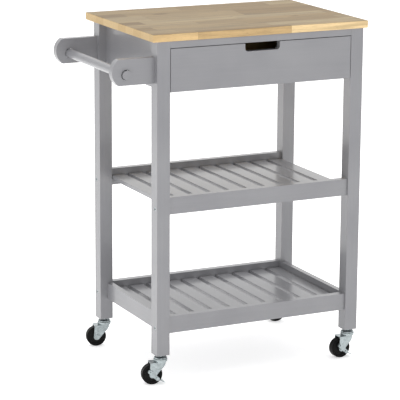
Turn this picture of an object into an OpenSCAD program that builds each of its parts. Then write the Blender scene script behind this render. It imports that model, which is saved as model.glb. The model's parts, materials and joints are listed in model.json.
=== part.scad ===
// Kitchen island cart: worktop on a four-legged frame, one drawer under the top, two slatted shelves,
// a round towel bar at the left end and four swivel casters, the front two with a brake lever.
// X runs along the front, Y from front to back, Z up. The origin is on the floor, in the middle of the
// cart's overall length (worktop and towel bar brackets) and of the worktop's depth.

/* [Worktop] */
// Length of the worktop along the front
top_w = 570; // [480:1:760]
// Depth of the worktop, front to back
top_d = 400; // [340:1:560]
// Height of the worktop's upper face above the floor
total_h = 845; // [700:1:1040]
// Thickness of the worktop
top_t = 18; // [12:1:30]
// Radius of the worktop's four corners, seen from above
top_corner_r = 3; // [1:0.5:15]
// How far the worktop stands out past the legs at each end
over_side = 12; // [0:1:40]
// How far the worktop stands out past the legs in front
over_front = 3; // [0:1:20]
// How far the worktop stands out past the legs at the back
over_back = 25; // [0:1:60]

/* [Legs and panels] */
// Side of the square legs
leg_s = 33; // [28:1:50]
// Thickness of the side panels, back panel and lower side rails
panel_t = 14; // [10:1:18]
// Height of the side and back panels, down from the worktop
panel_h = 117; // [100:1:150]
// Height of the thin rail above the drawer
top_rail_h = 16; // [13:1:24]
// Depth of the thin rail above the drawer, front to back
top_rail_d = 30; // [24:1:40]
// Diameter of the wooden dowels in the frame
dowel_d = 8; // [6:1:8]
// Length of the wooden dowels in the frame
dowel_l = 30; // [24:1:34]

/* [Shelves] */
// Height of the middle shelf rails' upper edge above the floor
mid_rail_z = 456.5; // [300:0.5:560]
// Height of the lower shelf rails' upper edge above the floor
low_rail_z = 165.5; // [150:0.5:260]
// Height of the shelf rails
rail_h = 41; // [34:1:60]
// Thickness of the shelf rails
rail_t = 18; // [16:1:22]
// How far the shelf rails sit back from the legs' outer faces
rail_in = 5; // [0:1:8]
// How far the slats lie below the rails' upper edge
slat_drop = 16; // [8:1:18]
// Thickness of a slat
slat_t = 10; // [6:1:12]
// Width of a slat
slat_w = 36; // [24:1:60]
// Wanted gap between two slats; the real one divides what is left evenly
slat_gap = 13; // [6:1:24]
// Gap between the outer slats and the legs
slat_side_gap = 1.5; // [0.5:0.5:6]
// Depth of the groove that holds the slat ends
groove_d = 5; // [4:0.5:8]
// Clearance round a slat end in its groove
groove_gap = 0.2; // [0.1:0.1:0.5]

/* [Towel bar] */
// How far the brackets reach out from the legs
bracket_l = 107; // [80:1:160]
// Height of a bracket
bracket_h = 61; // [46:1:80]
// Thickness of a bracket
bracket_t = 18; // [14:1:20]
// Distance of a bracket's front face from its leg's front face
bracket_set = 15; // [8:1:15]
// Distance of the brackets' upper edge below the worktop's upper face
bracket_drop = 55; // [40:1:90]
// Radius of a bracket's bowed end
bracket_end_r = 36; // [32:1:60]
// Radius of the corners between a bracket's end and its edges
bracket_corner_r = 3.5; // [1:0.5:8]
// Diameter of the round bar
bar_d = 22; // [14:1:26]
// Diameter of the bar's hole in the brackets
bar_hole_d = 24; // [20:0.5:30]
// Distance from the leg to the middle of the bar
bar_out = 71.5; // [56:0.5:80]
// Distance from the brackets' middle height down to the middle of the bar
bar_drop = 6; // [0:1:10]
// How far the bar stands out past the brackets
bar_stub = 6; // [2:1:20]

/* [Drawer] */
// Height of the drawer front
front_h = 102; // [95:1:120]
// Thickness of the drawer front
front_t = 16; // [14:1:22]
// Gap between the drawer front and the legs at each side
front_side_gap = 1.5; // [1:0.5:4]
// Gap between the drawer front and the thin rail above it
front_top_gap = 1.5; // [1:0.5:4]
// Width of the finger notch in the drawer front
notch_w = 92; // [60:1:160]
// Depth of the finger notch
notch_h = 19; // [12:1:26]
// Radius of the finger notch's lower corners
notch_r = 8; // [3:1:10]
// Thickness of the drawer sides and back
side_t = 12; // [10:1:15]
// Height of the drawer sides
side_h = 76; // [60:1:80]
// Thickness of the drawer bottom
bottom_t = 3; // [3:1:6]
// Height of the drawer bottom's underside above the sides' lower edge
bottom_up = 8; // [6:1:12]
// Depth of the groove that holds the drawer bottom
bottom_groove = 5; // [3:1:6]
// Space between a side panel and a drawer side, for the runners
runner_space = 12.5; // [12:0.5:15]
// Length of the drawer runners
runner_l = 300; // [290:1:320]
// Thickness of the runners' steel
runner_t = 1.2; // [1:0.1:1.5]
// Width of the runners' flanges
flange_w = 10; // [9:0.1:10.2]
// Diameter of the fixed roller at the front of each cabinet runner
front_roller_d = 16; // [15:0.5:16]
// Diameter of the roller at the back of each drawer runner
rear_roller_d = 14; // [12:0.5:14]
// Width of the runners' rollers
roller_w = 8; // [6:0.5:8]

/* [Casters] */
// Diameter of a wheel
wheel_d = 50; // [40:1:54]
// Width of a wheel
wheel_w = 18; // [14:1:20]
// Length of the neck between a caster's upper ball cup and its leg
neck_l = 4; // [2:0.5:12]
// Distance from the swivel's axis to the wheel's axis, seen from above
trail = 22; // [20:1:26]
// Direction in which the casters trail, from +X towards +Y
caster_yaw = 170; // [0:1:360]
// How much further the front right caster is turned than the others
caster_twist = 12; // [-45:1:45]
// Radius of the ball cups
cup_r = 17; // [15:0.5:20]
// Thickness of the forks' steel
fork_t = 2; // [1.5:0.1:2.5]
// Thickness of the brake levers' steel
lever_t = 1.5; // [1.2:0.1:1.6]
// Gap between a wheel's side and its fork
fork_gap = 2; // [1.5:0.5:3]
// Diameter of the axle bolts
axle_d = 6; // [5:0.5:7]
// Diameter of the sleeves that the wheels turn on
sleeve_d = 9; // [8:0.5:11]
// Diameter of the swivel pins
pin_d = 10; // [8:0.5:11]
// Diameter of the stems above the neck
stem_d = 8; // [7:0.5:9]
// Running clearance on the pins, sleeves and studs, measured on the radius
run_gap = 0.06; // [0.04:0.01:0.1]

/* [Fasteners] */
// Diameter of the frame bolts
bolt_d = 6; // [5:0.5:7]
// Diameter of the frame bolts' heads
bolt_head_d = 10; // [9:0.5:12]
// Depth to which a frame bolt's head is let into the leg
bolt_head_t = 4; // [3:0.5:6]
// How far a frame bolt reaches into its rail
bolt_reach = 34; // [26:1:45]
// Diameter of the barrel nuts
nut_d = 9; // [8:0.5:10]
// Diameter of the wood screws
screw_d = 3.5; // [3:0.5:4]
// Diameter of the wood screws' heads
screw_head_d = 7; // [6:0.5:7]

/* [Hidden] */

$fn = 64;
eps = 0.01;      // how far a cutter passes the face that it opens

GREY = "#9b9b9d";
WOOD = "#bfa981";
PLY = "#cdb78c";
ZINC = "#b8c0c0";
WHITE = "#e6e6e4";
BLACK = "#1b1b1b";

// Outer faces of the frame and of the worktop
top_x1 = (bracket_l - over_side + top_w) / 2;
top_x0 = top_x1 - top_w;
x0 = top_x0 + over_side;
x1 = top_x1 - over_side;
y0 = -top_d / 2 + over_front;
y1 = top_d / 2 - over_back;
frame_h = total_h - top_t;
// Inner faces of the legs, which the panels lie flush with
in_x0 = x0 + leg_s;
in_x1 = x1 - leg_s;
in_y0 = y0 + leg_s;
in_y1 = y1 - leg_s;
open_w = in_x1 - in_x0;
open_d = in_y1 - in_y0;
panel_z = frame_h - panel_h;
bolt_in = 12;                            // from a leg's outer face to the frame bolts' axis
bolt_up = 15;                            // from a shelf rail's lower edge to the bolts' axis
nut_l = 14;

// Slats
slats_w = open_w - 2 * slat_side_gap;
slat_n = round((slats_w + slat_gap) / (slat_w + slat_gap));
slat_pitch = (slats_w - slat_w) / (slat_n - 1);

// Towel bar
bracket_z1 = total_h - bracket_drop;
bracket_z0 = bracket_z1 - bracket_h;
bar_x = x0 - bar_out;
bracket_mid = (bracket_z0 + bracket_z1) / 2;
bar_z = bracket_mid - bar_drop;
bar_screw_l = 30;

// Drawer and runners; run_z is the upper face of the cabinet runners' lower flange
front_z1 = frame_h - top_rail_h - front_top_gap;
front_z0 = front_z1 - front_h;
front_lap = 11;                           // how far the drawer front reaches below the drawer sides
runner_drop = 2;                          // from the drawer sides down to the cabinet runners' flange
side_z = front_z0 + front_lap;
run_z = side_z - runner_drop;
box_x0 = in_x0 + runner_space;
box_x1 = in_x1 - runner_space;
box_w = box_x1 - box_x0;
box_y0 = y0 + front_t;
box_l = runner_l;
box_y1 = box_y0 + box_l;
lip_gap = 0.4;                            // above the rear roller in its channel
lip_z = run_z + rear_roller_d + lip_gap;
carry_gap = 0.2;                          // from the fixed roller's channel to the carrying flange
carry_z = run_z + front_roller_d + carry_gap;   // underside of the drawer runners' carrying flange
roller_gap = 0.05;
pin_r = 2;
roller_inset = 12;                        // from a runner's end to its roller's axis
front_roller_y = box_y0 + roller_inset;
rear_roller_y = box_y1 - roller_inset;
runner_screw_in = 40;                     // from a runner's back end to its last screw
screw_gap = 8;                            // from a dowel's end to the nearest runner screw
// Screws along a runner, from its front end; the first one stays clear of the dowels in the front legs
runner_screw_y = [leg_s - front_t + dowel_l / 2 + screw_gap, runner_l / 2, runner_l - runner_screw_in];
runner_screw_up = 7;                      // cabinet runner's screws above run_z
drawer_screw_up = 9;                      // drawer runner's screws above run_z
runner_screw_l = 12;
drawer_screw_l = 10;
bottom_screw_l = 14;

// Casters; heights above the floor, and lengths from the swivel's axis towards the wheel
wheel_over = 3;                           // from a wheel's tread up to its fork's crown
cup_h = 7;                                // lower ball cup, turning with the fork
cup_gap = 1;                              // between the two ball cups
disc_h = 5;                               // upper ball cup, fixed to the leg
crown_z = wheel_d + wheel_over;           // underside of a fork's crown
cup_z = crown_z + fork_t;
cup_top = cup_z + cup_h;
disc_z = cup_top + cup_gap;
disc_top = disc_z + disc_h;
leg_z = disc_top + neck_l;
pins = [[x0 + leg_s / 2, y0 + leg_s / 2], [x1 - leg_s / 2, y0 + leg_s / 2],
        [x0 + leg_s / 2, y1 - leg_s / 2], [x1 - leg_s / 2, y1 - leg_s / 2]];
fork_in = wheel_w / 2 + fork_gap;         // inner face of a fork's side plate, from its middle
fork_out = fork_in + fork_t;
hub = [trail, wheel_d / 2];
fork_end_r = 8;
neck_r = 8.5;
socket_d = 12;
socket_l = 27;
stem_l = 25;
head_t = 2;                               // axle bolt's head
lever_y = fork_out + head_t + 0.2;        // inner face of a brake lever
ear = hub + [7.5, 9];                     // a brake lever's stud
stud_d = 5;
ear_r = 5;

// ---- shared shapes ----

// A board given by its two opposite corners
module board(a, b) {
    translate(a) cube(b - a);
}

// A cylinder along X, from x to x + l
module rod_x(x, y, z, l, d) {
    translate([x, y, z]) rotate([0, 90, 0]) cylinder(h = l, d = d);
}

// A cylinder along Y, from y to y + l
module rod_y(x, y, z, l, d) {
    translate([x, y, z]) rotate([-90, 0, 0]) cylinder(h = l, d = d);
}

// A cylinder along Z, from z to z + l
module rod_z(x, y, z, l, d) {
    translate([x, y, z]) cylinder(h = l, d = d);
}

// A plate with four round corners, lying flat with its lower corner at the origin
module round_plate(w, d, t, r) {
    linear_extrude(t) {
        translate([r, 0]) square([w - 2 * r, d]);
        translate([0, r]) square([w, d - 2 * r]);
        for (x = [r, w - r], y = [r, d - r]) translate([x, y]) circle(r = r);
    }
}

// A countersunk wood screw along +Z, its head's face at the origin
module wood_screw(l) {
    rotate_extrude() polygon([
        [0, 0], [screw_head_d / 2, 0], [screw_d / 2, screw_head_d / 2 - screw_d / 2 + 0.6],
        [screw_d / 2, l - 3], [0, l]
    ]);
}

// The room that a countersunk screw takes, open at its head
module screw_room(l) {
    translate([0, 0, -eps]) rotate_extrude() polygon([
        [0, 0], [screw_head_d / 2 + 0.1, 0],
        [screw_d / 2 + 0.1, screw_head_d / 2 - screw_d / 2 + 0.7],
        [screw_d / 2 + 0.1, l + 0.5], [0, l + 0.5]
    ]);
}

// A dowel's place, as a solid or with room round it
module dowel_at(p, along, spare = 0) {
    turn = along == "x" ? [0, 90, 0] : along == "y" ? [-90, 0, 0] : [0, 0, 0];
    translate(p) rotate(turn) cylinder(h = dowel_l + spare, d = dowel_d, center = true);
}

// ---- where the fasteners go ----

low_rail_mid = low_rail_z - rail_h / 2;
panel_dowel_z = [panel_z + 14, frame_h - 27];
side_rail_dowel_z = [low_rail_mid - 9, low_rail_mid + 9];
back_dowel_z = [panel_z + 35, frame_h - 47];
x_panel_mid = [in_x0 - panel_t / 2, in_x1 + panel_t / 2];
y_back_mid = in_y1 + panel_t / 2;
top_rail_y = y0 + leg_s / 2;
top_rail_z = frame_h - top_rail_h / 2;
bolt_zs = [mid_rail_z - rail_h + bolt_up, low_rail_z - rail_h + bolt_up];
bolt_ys = [y0 + bolt_in, y1 - bolt_in];

// Dowels between the side pieces and the legs, at one end of the cart
module side_dowels(x, spare = 0) {
    for (y = [in_y0, in_y1], z = concat(panel_dowel_z, side_rail_dowel_z))
        dowel_at([x, y, z], "y", spare);
}

// Dowels between the back panel, the thin top rail and the legs
module cross_dowels(spare = 0) {
    for (x = [in_x0, in_x1]) {
        for (z = back_dowel_z) dowel_at([x, y_back_mid, z], "x", spare);
        dowel_at([x, top_rail_y, top_rail_z], "x", spare);
    }
}

// One frame bolt per rail end, its head let into the outer face of the leg
module rail_bolt(side, y, z, room = 0) {
    x = side < 0 ? x0 : x1;
    translate([x, y, z]) rotate([0, side < 0 ? 90 : -90, 0]) {
        difference() {
            union() {
                translate([0, 0, room > 0 ? -eps : 0.4])
                    cylinder(h = bolt_head_t + (room > 0 ? 0.05 : -0.4), d = bolt_head_d + room);
                cylinder(h = leg_s + bolt_reach + room, d = bolt_d + room);
            }
            if (room == 0) translate([0, 0, -eps]) cylinder(h = 2.6, d = 4.6, $fn = 6);
            if (room == 0) translate([0, 0, -eps]) cylinder(h = 0.4 + eps, d = bolt_d + 1);
        }
    }
}

// The barrel nut of a frame bolt, let into the rail's lower edge
module barrel_nut(side, y, z, room = 0) {
    x = side < 0 ? in_x0 + bolt_reach - nut_d / 2 - 1 : in_x1 - bolt_reach + nut_d / 2 + 1;
    translate([x, y, z]) difference() {
        if (room > 0) translate([0, 0, -bolt_up - eps])
            cylinder(h = bolt_up + nut_l / 2 + room + eps, d = nut_d + room);
        else translate([0, 0, -nut_l / 2]) cylinder(h = nut_l, d = nut_d);
        if (room == 0) {
            rotate([0, 90, 0]) cylinder(h = 2 * nut_d, d = bolt_d + 0.1, center = true);
            translate([-nut_d, -0.6, -nut_l / 2 - 1]) cube([2 * nut_d, 1.2, 2.5]);
        }
    }
}

// ---- frame ----

module worktop() {
    color(WOOD) translate([top_x0, -top_d / 2, frame_h]) difference() {
        round_plate(top_w, top_d, top_t, top_corner_r);
        for (a = angle_spots())
            translate([a[0] - top_x0, a[1] + top_d / 2, 0]) rotate(a[2])
                translate([0, angle_leg / 2 + 1, 0]) cylinder(h = 12.5, d = screw_d + 0.2);
    }
}

module leg(side, front) {
    x = side < 0 ? x0 : x1 - leg_s;
    y = front ? y0 : y1 - leg_s;
    color(GREY) difference() {
        board([x, y, leg_z], [x + leg_s, y + leg_s, frame_h]);
        side_dowels(side < 0 ? x_panel_mid[0] : x_panel_mid[1], 1);
        cross_dowels(1);
        for (z = bolt_zs) rail_bolt(side, front ? bolt_ys[0] : bolt_ys[1], z, 0.4);
        rod_z(x + leg_s / 2, y + leg_s / 2, leg_z - eps, socket_l + 1, socket_d);
        if (side < 0) for (z = bar_screw_zs) bar_screw_room(front ? y0 : y1 - leg_s, z);
    }
}

module side_panel(side) {
    x = side < 0 ? in_x0 - panel_t : in_x1;
    color(GREY) difference() {
        board([x, in_y0, panel_z], [x + panel_t, in_y1, frame_h]);
        side_dowels(x + panel_t / 2, 1);
        runner_screws(side, 1);
        angle_screws(1);
    }
}

module lower_side_rail(side) {
    x = side < 0 ? in_x0 - panel_t : in_x1;
    color(GREY) difference() {
        board([x, in_y0, low_rail_z - rail_h], [x + panel_t, in_y1, low_rail_z]);
        side_dowels(x + panel_t / 2, 1);
    }
}

module back_panel() {
    color(GREY) difference() {
        board([in_x0, in_y1, panel_z], [in_x1, in_y1 + panel_t, frame_h]);
        cross_dowels(1);
        angle_screws(1);
    }
}

module front_top_rail() {
    color(GREY) difference() {
        board([in_x0, y0, frame_h - top_rail_h], [in_x1, y0 + top_rail_d, frame_h]);
        cross_dowels(1);
    }
}

// ---- shelves ----

// A shelf rail with a groove along its inner face for the slat ends
module shelf_rail(front, z) {
    y = front ? y0 + rail_in : y1 - rail_in - rail_t;
    bolt_y = front ? y0 + bolt_in : y1 - bolt_in;
    bolt_z = z - rail_h + bolt_up;
    color(GREY) difference() {
        board([in_x0, y, z - rail_h], [in_x1, y + rail_t, z]);
        translate([in_x0 - eps, front ? y + rail_t - groove_d : y - eps, z - slat_drop - slat_t - groove_gap])
            cube([open_w + 2 * eps, groove_d + eps, slat_t + 2 * groove_gap]);
        for (side = [-1, 1]) {
            rail_bolt(side, bolt_y, bolt_z, 0.4);
            barrel_nut(side, bolt_y, bolt_z, 0.2);
        }
    }
}

// The slats of one shelf, side by side, each a board of its own with its ends in the rails' grooves
module slats(z) {
    tongue = groove_d - 0.5;
    color(GREY) for (i = [0 : slat_n - 1]) {
        x = in_x0 + slat_side_gap + i * slat_pitch;
        board([x, y0 + rail_in + rail_t - tongue, z - slat_drop - slat_t],
              [x + slat_w, y1 - rail_in - rail_t + tongue, z - slat_drop]);
    }
}

// ---- towel bar ----

bar_screw_up = 15;                        // a bracket's screws above and below its middle
bar_screw_zs = [bracket_mid - bar_screw_up, bracket_mid + bar_screw_up];

module bar_screw_room(leg_y, z) {
    translate([in_x0, leg_y + bracket_set + bracket_t / 2, z]) rotate([0, -90, 0])
        screw_room(leg_s + bar_screw_l);
}

// A bracket's outline, its bowed end at x = 0 and its middle on y = 0
module bracket_shape() {
    half = bracket_h / 2;
    r = bracket_corner_r;
    mid = [bracket_end_r, 0];
    corner_x = bracket_end_r - sqrt(pow(bracket_end_r - r, 2) - pow(half - r, 2));
    intersection() {
        translate(mid) circle(r = bracket_end_r, $fn = 96);
        polygon([mid, mid + 3 * ([corner_x, half - r] - mid), mid + 3 * ([corner_x, r - half] - mid)]);
    }
    polygon([mid, [corner_x, half - r], [corner_x, r - half]]);
    for (y = [half - r, r - half]) translate([corner_x, y]) circle(r = r);
    translate([corner_x, -half]) square([bracket_l - corner_x, bracket_h]);
}

module bar_bracket(front) {
    leg_y = front ? y0 : y1 - leg_s;
    y = leg_y + bracket_set;
    color(GREY) difference() {
        translate([x0 - bracket_l, y + bracket_t, bracket_mid]) rotate([90, 0, 0]) linear_extrude(bracket_t)
            bracket_shape();
        rod_y(bar_x, y - eps, bar_z, bracket_t + 2 * eps, bar_hole_d);
        for (z = bar_screw_zs) bar_screw_room(leg_y, z);
        translate([bar_x, y + bracket_t / 2, bracket_z0]) screw_room(bar_z - bracket_z0);
    }
}

module towel_bar() {
    ya = y0 + bracket_set - bar_stub;
    yb = y1 - leg_s + bracket_set + bracket_t + bar_stub;
    color(GREY) difference() {
        rod_y(bar_x, ya, bar_z, yb - ya, bar_d);
        for (leg_y = [y0, y1 - leg_s])
            translate([bar_x, leg_y + bracket_set + bracket_t / 2, bracket_z0])
                screw_room(bar_z - bracket_z0);
    }
}

// Two screws from inside each leg into its bracket, and one up through the bracket into the bar
module bar_screws() {
    color(ZINC) for (leg_y = [y0, y1 - leg_s]) {
        for (z = bar_screw_zs)
            translate([in_x0, leg_y + bracket_set + bracket_t / 2, z]) rotate([0, -90, 0])
                wood_screw(leg_s + bar_screw_l);
        translate([bar_x, leg_y + bracket_set + bracket_t / 2, bracket_z0]) wood_screw(bar_z - bracket_z0);
    }
}

// ---- worktop angles ----

angle_leg = 18;
angle_w = 16;
angle_t = 1.6;

// Where the steel angles sit: [x, y, turn], each turned so that +Y points into the cart
function angle_spots() = [
    [in_x0, in_y0 + open_d * 0.22, -90], [in_x0, in_y0 + open_d * 0.78, -90],
    [in_x1, in_y0 + open_d * 0.22, 90], [in_x1, in_y0 + open_d * 0.78, 90],
    [in_x0 + open_w * 0.25, in_y1, 180], [in_x0 + open_w * 0.75, in_y1, 180]
];

module worktop_angles() {
    color(ZINC) for (a = angle_spots()) translate([a[0], a[1], frame_h]) rotate(a[2]) difference() {
        union() {
            translate([-angle_w / 2, 0, -angle_t]) cube([angle_w, angle_leg, angle_t]);
            translate([-angle_w / 2, 0, -angle_leg]) cube([angle_w, angle_t, angle_leg]);
        }
        translate([0, angle_leg / 2 + 1, -angle_t - eps]) cylinder(h = angle_t + 2 * eps, d = screw_d + 0.4);
        rod_y(0, -eps, -angle_leg / 2 - 1, angle_t + 2 * eps, screw_d + 0.4);
    }
}

// The screws of the angles: one up into the worktop, one sideways into the panel
module angle_screws(room = 0) {
    for (a = angle_spots()) translate([a[0], a[1], frame_h]) rotate(a[2]) {
        if (room == 0) translate([0, angle_leg / 2 + 1, -angle_t]) pan_screw(12);
        if (room == 0) translate([0, angle_t, -angle_leg / 2 - 1]) rotate([90, 0, 0]) pan_screw(11);
        if (room > 0) rod_y(0, -11 + angle_t, -angle_leg / 2 - 1, 11, screw_d + 0.2);
    }
}

// A round-headed screw along +Z, seated on the origin's plane
module pan_screw(l) {
    rotate_extrude() polygon([
        [0, -2], [screw_head_d / 2 - 1, -2], [screw_head_d / 2, -1.2], [screw_head_d / 2, 0],
        [screw_d / 2, 0], [screw_d / 2, l - 2], [0, l]
    ]);
}

// ---- frame fasteners ----

module rail_bolts() {
    color(ZINC) for (side = [-1, 1], y = bolt_ys, z = bolt_zs) rail_bolt(side, y, z);
}

module barrel_nuts() {
    color(ZINC) for (side = [-1, 1], y = bolt_ys, z = bolt_zs) barrel_nut(side, y, z);
}

module frame_dowels() {
    color(PLY) {
        for (x = x_panel_mid) side_dowels(x);
        cross_dowels();
    }
}

module frame_screws() {
    color(ZINC) {
        angle_screws();
        for (side = [-1, 1]) runner_screws(side);
    }
}

module caster_sockets() {
    color(ZINC) for (p = pins) difference() {
        rod_z(p[0], p[1], leg_z, socket_l, socket_d);
        rod_z(p[0], p[1], leg_z - eps, stem_l + 1, stem_d + 0.1);
    }
}

// ---- drawer ----

module drawer_front() {
    w = open_w - 2 * front_side_gap;
    color(GREY) translate([in_x0 + front_side_gap, y0, front_z0]) difference() {
        cube([w, front_t, front_h]);
        translate([w / 2, front_t + eps, front_h]) rotate([90, 0, 0]) linear_extrude(front_t + 2 * eps) {
            translate([-notch_w / 2, -notch_h + notch_r]) square([notch_w, notch_h]);
            translate([-notch_w / 2 + notch_r, -notch_h]) square([notch_w - 2 * notch_r, notch_h]);
            for (x = [-1, 1])
                translate([x * (notch_w / 2 - notch_r), -notch_h + notch_r]) circle(r = notch_r);
        }
        translate([box_x0 - in_x0 - front_side_gap + side_t - bottom_groove, front_t - bottom_groove,
                   side_z - front_z0 + bottom_up])
            cube([box_w - 2 * side_t + 2 * bottom_groove, bottom_groove + eps, bottom_t + 0.2]);
        translate([-in_x0 - front_side_gap, -y0, -front_z0]) drawer_dowels_front(1);
    }
}

module drawer_side(side) {
    x = side < 0 ? box_x0 : box_x1 - side_t;
    color(PLY) difference() {
        board([x, box_y0, side_z], [x + side_t, box_y1, side_z + side_h]);
        translate([side < 0 ? x + side_t - bottom_groove : x - eps, box_y0 - eps, side_z + bottom_up])
            cube([bottom_groove + eps, box_l + 2 * eps, bottom_t + 0.2]);
        drawer_dowels_front(1);
        drawer_dowels_back(1);
        drawer_runner_screws(side, 1);
    }
}

module drawer_back() {
    z = side_z + bottom_up + bottom_t + 0.2;
    color(PLY) difference() {
        board([box_x0 + side_t, box_y1 - side_t, z], [box_x1 - side_t, box_y1, side_z + side_h]);
        drawer_dowels_back(1);
        for (x = bottom_screw_xs) translate([x, box_y1 - side_t / 2, z]) screw_room(11);
    }
}

module drawer_bottom() {
    spare = bottom_groove - 0.5;
    color(PLY) difference() {
        board([box_x0 + side_t - spare, box_y0 - spare, side_z + bottom_up + 0.1],
              [box_x1 - side_t + spare, box_y1, side_z + bottom_up + bottom_t + 0.1]);
        for (x = bottom_screw_xs)
            translate([x, box_y1 - side_t / 2, side_z + bottom_up + 0.1]) screw_room(bottom_screw_l);
    }
}

bottom_screw_xs = [for (i = [-1, 0, 1]) (box_x0 + box_x1) / 2 + i * box_w / 3];
box_dowel_l = 20;
box_dowel_d = 6;
box_dowel_zs = [side_z + 22, side_z + side_h - 14];

// Dowels that stand in the drawer front and in the sides' front ends
module drawer_dowels_front(spare = 0) {
    for (x = [box_x0 + side_t / 2, box_x1 - side_t / 2], z = box_dowel_zs)
        rod_y(x, box_y0 - box_dowel_l / 2 - spare / 2, z, box_dowel_l + spare, box_dowel_d);
}

// Dowels that stand in the sides and in the back's ends
module drawer_dowels_back(spare = 0) {
    for (x = [box_x0 + side_t, box_x1 - side_t], z = box_dowel_zs)
        rod_x(x - box_dowel_l / 2 - spare / 2, box_y1 - side_t / 2, z, box_dowel_l + spare, box_dowel_d);
}

module drawer_dowels() {
    color(WOOD) {
        drawer_dowels_front();
        drawer_dowels_back();
    }
}

module drawer_screws() {
    color(ZINC) {
        for (x = bottom_screw_xs) translate([x, box_y1 - side_t / 2, side_z + bottom_up + 0.1])
            wood_screw(bottom_screw_l);
        for (side = [-1, 1]) drawer_runner_screws(side);
    }
}

// ---- runners; each is drawn for the left side and mirrored for the right ----

module at_side(side) {
    if (side < 0) children();
    else translate([in_x0 + in_x1, 0, 0]) mirror([1, 0, 0]) children();
}

// C-shaped cabinet runner with the fixed roller's pin at its front
module cabinet_runner(side) {
    web_top = lip_z + runner_t;
    color(WHITE) at_side(side) difference() {
        union() {
            board([in_x0, box_y0, run_z - runner_t], [in_x0 + runner_t, box_y1, web_top]);
            board([in_x0, box_y0, run_z - runner_t], [in_x0 + flange_w, box_y1, run_z]);
            board([in_x0, front_roller_y + roller_inset, lip_z], [in_x0 + flange_w, box_y1, web_top]);
            rod_x(in_x0, front_roller_y, front_axis_z, flange_w, 2 * pin_r);
        }
        for (dy = runner_screw_y) translate([in_x0 + runner_t, box_y0 + dy, run_z + runner_screw_up])
            rotate([0, -90, 0]) screw_room(runner_screw_l);
    }
}

// Drawer runner: a carrying flange outwards, a ledge under the drawer side and the rear roller's pin
module drawer_runner(side) {
    web_x = box_x0 - runner_t;
    color(WHITE) at_side(side) difference() {
        union() {
            board([web_x, box_y0, side_z - runner_t], [box_x0, box_y1, carry_z + runner_t]);
            board([box_x0 - flange_w, box_y0, carry_z], [box_x0, box_y1, carry_z + runner_t]);
            board([web_x, box_y0, side_z - runner_t], [box_x0 + side_t - 1, box_y1, side_z]);
            rod_x(web_x - roller_w - 1, rear_roller_y, rear_axis_z, roller_w + 1 + runner_t / 2, 2 * pin_r);
        }
        for (dy = runner_screw_y) translate([web_x, box_y0 + dy, run_z + drawer_screw_up])
            rotate([0, 90, 0]) screw_room(runner_t);
    }
}

front_axis_z = carry_z - roller_gap - front_roller_d / 2;
rear_axis_z = run_z + roller_gap + rear_roller_d / 2;

// A roller with a step at its rim and a bore that turns on its pin
module roller(d) {
    rotate([0, 90, 0]) rotate_extrude() polygon([
        [pin_r + 0.05, 0], [d / 2 - 0.6, 0], [d / 2, 0.6], [d / 2, roller_w - 0.6], [d / 2 - 0.6, roller_w],
        [d / 2 - 2.2, roller_w], [d / 2 - 2.2, roller_w - 0.8], [pin_r + 1.2, roller_w - 0.8],
        [pin_r + 1.2, roller_w], [pin_r + 0.05, roller_w]
    ]);
}

module cabinet_rollers() {
    color(WHITE) for (side = [-1, 1]) at_side(side)
        translate([in_x0 + runner_t + 0.5, front_roller_y, front_axis_z]) roller(front_roller_d);
}

module drawer_rollers() {
    color(WHITE) for (side = [-1, 1]) at_side(side)
        translate([box_x0 - runner_t - 0.7 - roller_w, rear_roller_y, rear_axis_z]) roller(rear_roller_d);
}

// Screws that hold the cabinet runners to the side panels
module runner_screws(side, room = 0) {
    at_side(side) for (dy = runner_screw_y) {
        translate([in_x0 + runner_t, box_y0 + dy, run_z + runner_screw_up]) rotate([0, -90, 0]) {
            if (room > 0) screw_room(runner_screw_l);
            else wood_screw(runner_screw_l);
        }
    }
}

// Screws that hold the drawer runners to the drawer sides
module drawer_runner_screws(side, room = 0) {
    at_side(side) for (dy = runner_screw_y) {
        translate([box_x0 - runner_t, box_y0 + dy, run_z + drawer_screw_up]) rotate([0, 90, 0]) {
            if (room > 0) screw_room(drawer_screw_l);
            else wood_screw(drawer_screw_l);
        }
    }
}

// ---- casters; each is drawn with its swivel axis on Z and its wheel towards +X, then placed ----

module at_caster(i) {
    turn = i == 1 ? caster_yaw + caster_twist : caster_yaw;
    translate([pins[i][0], pins[i][1], 0]) rotate(turn) children();
}

// Threaded stem, neck and upper ball cup, and the swivel pin riveted under the fork's crown
module caster_stem(i) {
    color(ZINC) at_caster(i) rotate_extrude() polygon([
        [0, crown_z - 4], [pin_d / 2 - 1, crown_z - 4], [pin_d / 2 + 3, crown_z - 2.2],
        [pin_d / 2 + 3, crown_z - 0.3], [pin_d / 2, crown_z - 0.3], [pin_d / 2, disc_z], [cup_r - 1, disc_z],
        [cup_r - 1, disc_z + 2], [neck_r + 3, disc_top], [neck_r, disc_top], [neck_r, leg_z],
        [stem_d / 2, leg_z],
        [stem_d / 2, leg_z + stem_l - 1], [stem_d / 2 - 1, leg_z + stem_l], [0, leg_z + stem_l]
    ]);
}

// The point where a line from p touches the circle round c
function touch(p, c, r) =
    let (a = atan2(p[1] - c[1], p[0] - c[0]), b = acos(r / norm(p - c)))
    c + r * [cos(a + b), sin(a + b)];

// Outline of a fork, seen from the side
module fork_side() {
    knee = [2, wheel_d / 2 + 11];
    polygon([
        [-fork_out - 3, cup_z], [-fork_out - 3, crown_z], knee, touch(knee, hub, fork_end_r), hub,
        hub + [fork_end_r, 0], [trail + 5.5, cup_z]
    ]);
    translate(hub) circle(r = fork_end_r);
}

// Plan of a fork's crown: a half round in front, straight sides behind
module fork_plan(r) {
    circle(r = r);
    translate([0, -r]) square([trail + fork_end_r + 1, 2 * r]);
}

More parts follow.
